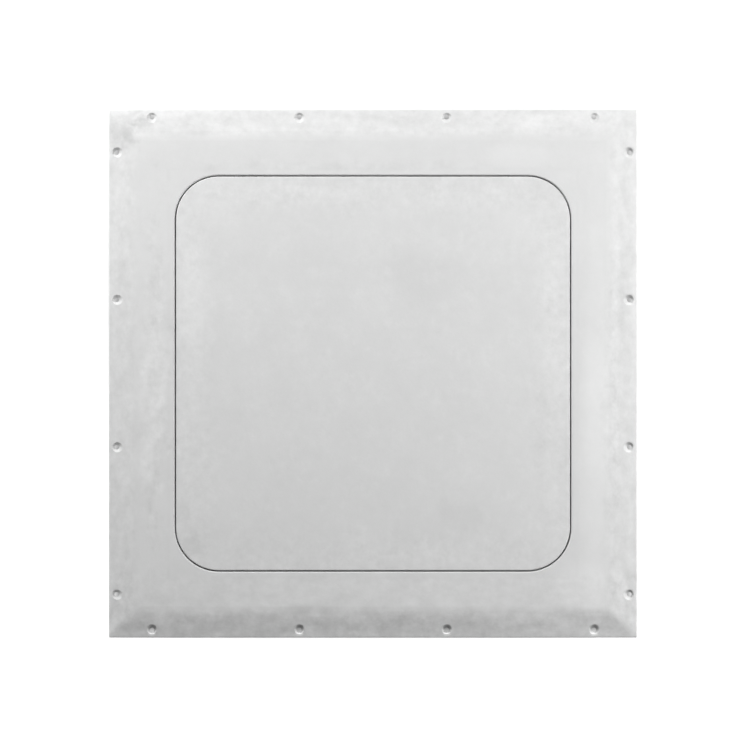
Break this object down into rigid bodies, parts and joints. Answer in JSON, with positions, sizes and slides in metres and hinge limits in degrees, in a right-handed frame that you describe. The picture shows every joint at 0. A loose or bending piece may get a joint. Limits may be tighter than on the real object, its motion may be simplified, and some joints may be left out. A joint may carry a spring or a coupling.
{
  "type": "deck hatch",
  "caption": "Square flush deck hatch: moulded frame with a sloped screw-down border, drained gutter, lid on concealed gooseneck hinges, dogs turned from below.",
  "frame": {"origin": "centre of the opening on the plane of the deck, the underside of the frame's border", "axes": "+Z out of the deck, +Y towards the hinges, +X to the right seen from above"},
  "size_m": [0.61, 0.61, 0.0635],
  "materials": {
    "moulding": "matt moulded face, pale neutral grey, faintly mottled",
    "core": "sealed balsa core, not seen",
    "seal": "black EPDM, matt",
    "stainless": "stainless steel, satin",
    "bushing": "acetal, matt",
    "dog_housing": "glass-filled nylon, matt",
    "grip": "glass-filled nylon, matt",
    "drain": "acetal, matt"
  },
  "bodies": {
    "root": {"frame": "moulding", "coaming_seal": "seal", "hinge_bracket_left": "stainless", "bracket_screw_left_a": "stainless", "bracket_screw_left_b": "stainless", "pivot_bolt_left": "stainless", "friction_washer_left_inner": "bushing", "friction_washer_left_outer": "bushing", "disc_spring_left": "stainless", "lock_nut_left": "stainless", "keeper_left": "stainless", "keeper_screw_left_a": "stainless", "keeper_screw_left_b": "stainless", "drain_tail_left": "drain", "drain_nut_left": "drain", "hinge_bracket_right": "stainless", "bracket_screw_right_a": "stainless", "bracket_screw_right_b": "stainless", "pivot_bolt_right": "stainless", "friction_washer_right_inner": "bushing", "friction_washer_right_outer": "bushing", "disc_spring_right": "stainless", "lock_nut_right": "stainless", "keeper_right": "stainless", "keeper_screw_right_a": "stainless", "keeper_screw_right_b": "stainless", "drain_tail_right": "drain", "drain_nut_right": "drain"},
    "lid": {"lid_skin": "moulding", "lid_liner": "moulding", "lid_core": "core", "hinge_arm_left": "stainless", "arm_screw_left_a": "stainless", "arm_screw_left_b": "stainless", "dog_housing_left": "dog_housing", "housing_screw_left_a": "stainless", "housing_screw_left_b": "stainless", "hinge_arm_right": "stainless", "arm_screw_right_a": "stainless", "arm_screw_right_b": "stainless", "dog_housing_right": "dog_housing", "housing_screw_right_a": "stainless", "housing_screw_right_b": "stainless"},
    "dog_left": {"dog_spindle_left": "stainless", "thrust_washer_left": "bushing", "dog_blade_left": "stainless", "dog_grip_left": "grip", "grip_washer_left": "stainless", "grip_bolt_left": "stainless"},
    "dog_right": {"dog_spindle_right": "stainless", "thrust_washer_right": "bushing", "dog_blade_right": "stainless", "dog_grip_right": "grip", "grip_washer_right": "stainless", "grip_bolt_right": "stainless"}
  },
  "joints": [
    {"name": "lid_hinge", "type": "hinge", "parent": "root", "child": "lid", "pos_m": [0, 0.26, -0.002], "axis": [-1, 0, 0], "range_deg": [0, 90]},
    {"name": "dog_left_turn", "type": "hinge", "parent": "lid", "child": "dog_left", "pos_m": [-0.12, -0.165, -0.02], "axis": [0, 0, 1], "range_deg": [0, 90]},
    {"name": "dog_right_turn", "type": "hinge", "parent": "lid", "child": "dog_right", "pos_m": [0.12, -0.165, -0.02], "axis": [0, 0, -1], "range_deg": [0, 90]}
  ]
}
